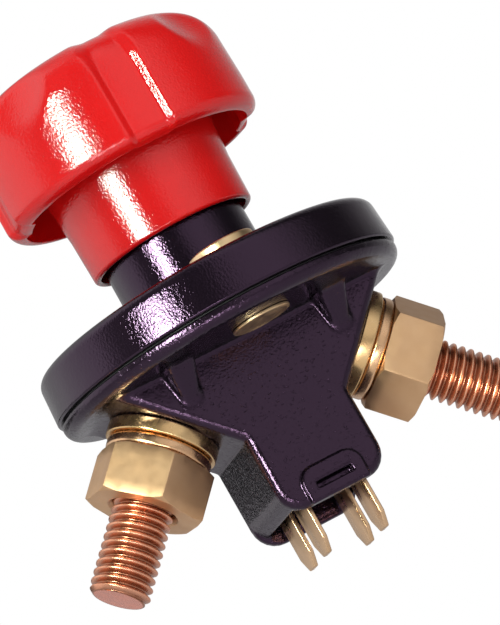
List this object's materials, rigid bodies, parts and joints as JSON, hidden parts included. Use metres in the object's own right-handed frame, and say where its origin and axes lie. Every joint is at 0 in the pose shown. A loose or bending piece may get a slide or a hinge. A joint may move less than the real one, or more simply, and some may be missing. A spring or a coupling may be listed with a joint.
{
  "type": "battery switch",
  "caption": "Panel-mounted rotary battery master switch with a red grooved knob, round flange, angled copper power studs and auxiliary blade terminals.",
  "frame": {"origin": "centre of the cover's top face, which lies against the panel, on the axis of the knob", "axes": "+Z along the knob's axis towards the knob, +X towards the right stud seen from the front, -Y towards the front"},
  "size_m": [0.0808, 0.062, 0.0908],
  "materials": {
    "red_plastic": "glossy moulded red plastic with a fine orange peel",
    "black_plastic": "glossy moulded black plastic with a violet tinge and fine pits",
    "block_plastic": "matt black moulded plastic",
    "natural_plastic": "natural moulded nylon",
    "rubber": "matt black rubber",
    "nut_brass": "satin brass with fine grinding lines on the flats",
    "washer_brass": "polished brass",
    "brass": "turned brass",
    "blade_brass": "stamped satin brass",
    "bronze": "bright phosphor bronze",
    "copper": "bright copper with polished thread crests",
    "steel": "plated steel"
  },
  "bodies": {
    "housing": {"cover": "black_plastic", "gasket": "rubber", "case": "black_plastic", "front_mounting_insert": "brass", "rear_mounting_insert": "brass", "left_stud": "copper", "left_flat_washer": "washer_brass", "left_lock_washer": "bronze", "left_nut": "nut_brass", "right_stud": "copper", "right_flat_washer": "washer_brass", "right_lock_washer": "bronze", "right_nut": "nut_brass", "terminal_block": "block_plastic", "left_front_blade": "blade_brass", "left_rear_blade": "blade_brass", "right_front_blade": "blade_brass", "right_rear_blade": "blade_brass", "return_spring": "steel"},
    "knob_assembly": {"knob": "red_plastic", "knob_cap": "red_plastic", "knob_screw": "steel", "spindle": "brass", "cross_pin": "steel", "spindle_o_ring": "rubber"},
    "plunger_assembly": {"plunger": "natural_plastic", "moving_contact": "copper", "bridge_carrier": "natural_plastic", "closing_bridge": "blade_brass", "opening_bridge": "blade_brass"}
  },
  "joints": [
    {"name": "knob_turn", "type": "hinge", "parent": "housing", "child": "knob_assembly", "pos_m": [0, 0, 0], "axis": [0, 0, -1], "range_deg": [0, 90]},
    {"name": "plunger_travel", "type": "slide", "parent": "housing", "child": "plunger_assembly", "axis": [0, 0, -1], "range_m": [0, 0.003], "deforming": ["return_spring"]}
  ],
  "couplings": [
    {"joint": "plunger_travel", "follows": "knob_turn", "m_per_rad": 0.0019098}
  ]
}
